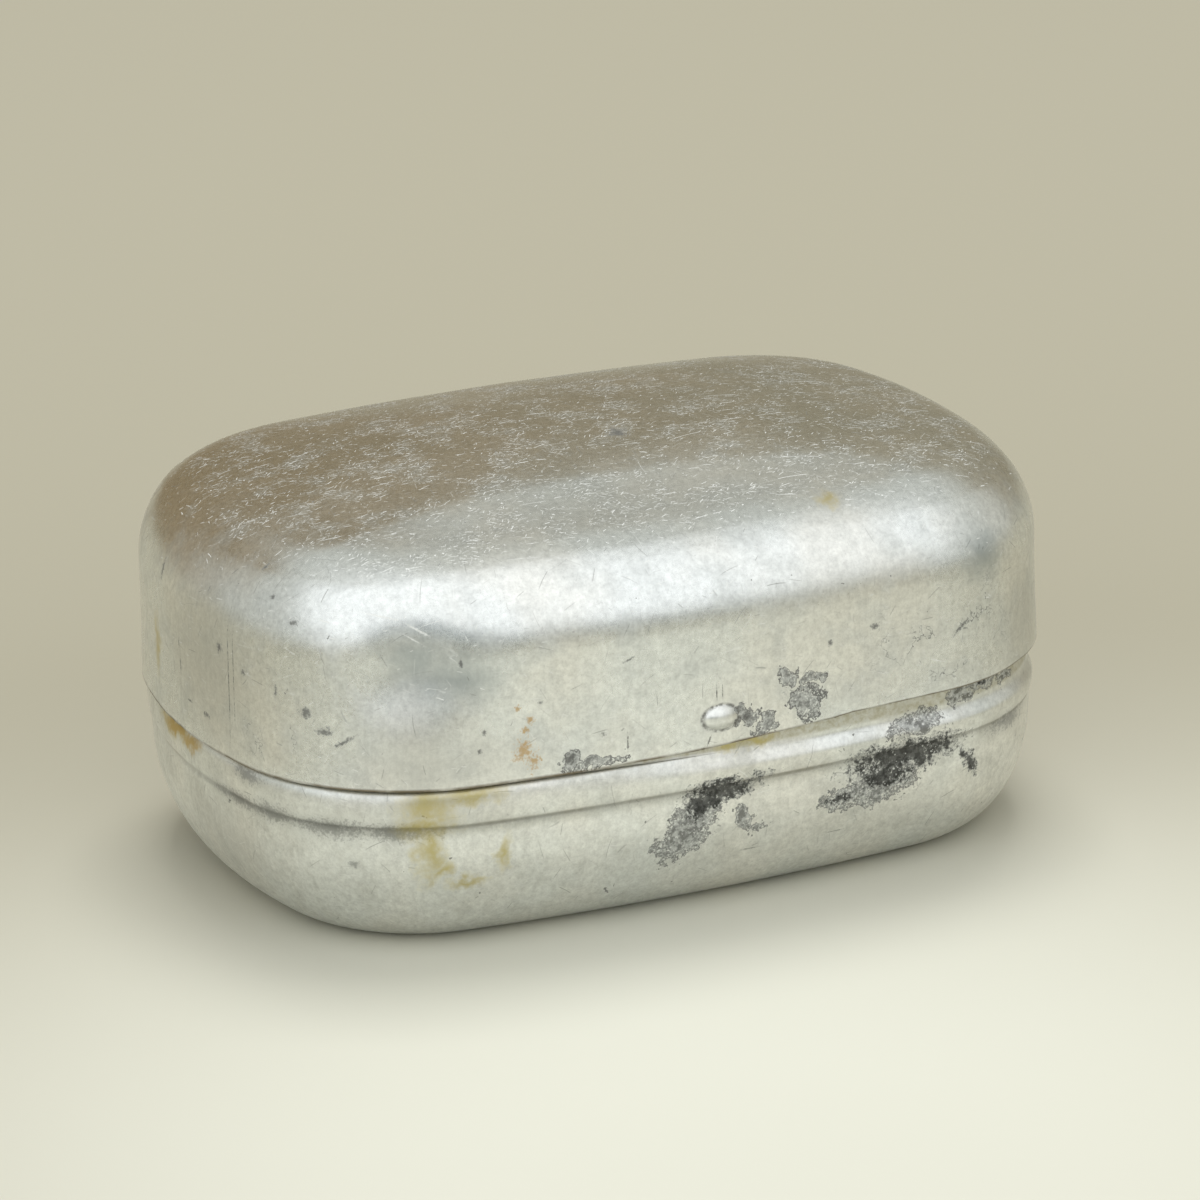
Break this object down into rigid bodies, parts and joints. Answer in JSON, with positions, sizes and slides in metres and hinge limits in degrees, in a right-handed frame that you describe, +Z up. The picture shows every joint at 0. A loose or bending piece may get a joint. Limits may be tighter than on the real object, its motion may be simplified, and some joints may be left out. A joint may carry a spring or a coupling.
{
  "type": "soap tin",
  "caption": "Oblong pressed aluminium soap tin with rounded corners: a beaded base tray with a collar, and a deep domed lid that lifts off, held by small catch pips.",
  "frame": {"origin": "middle of the base's flat bottom face", "axes": "+X along the length, towards the end where the lid's rim is trimmed higher; +Y to the back; +Z up, the way the lid lifts"},
  "size_m": [0.1, 0.0724, 0.0481],
  "materials": {
    "base_metal": "dull satin, stained and pitted",
    "lid_metal": "worn satin, finely scratched"
  },
  "bodies": {
    "base": {"base": "base_metal"},
    "lid": {"lid": "lid_metal"}
  },
  "joints": [
    {"name": "lid_lift", "type": "slide", "parent": "base", "child": "lid", "axis": [0, 0, 1], "range_m": [0, 0.05]}
  ]
}
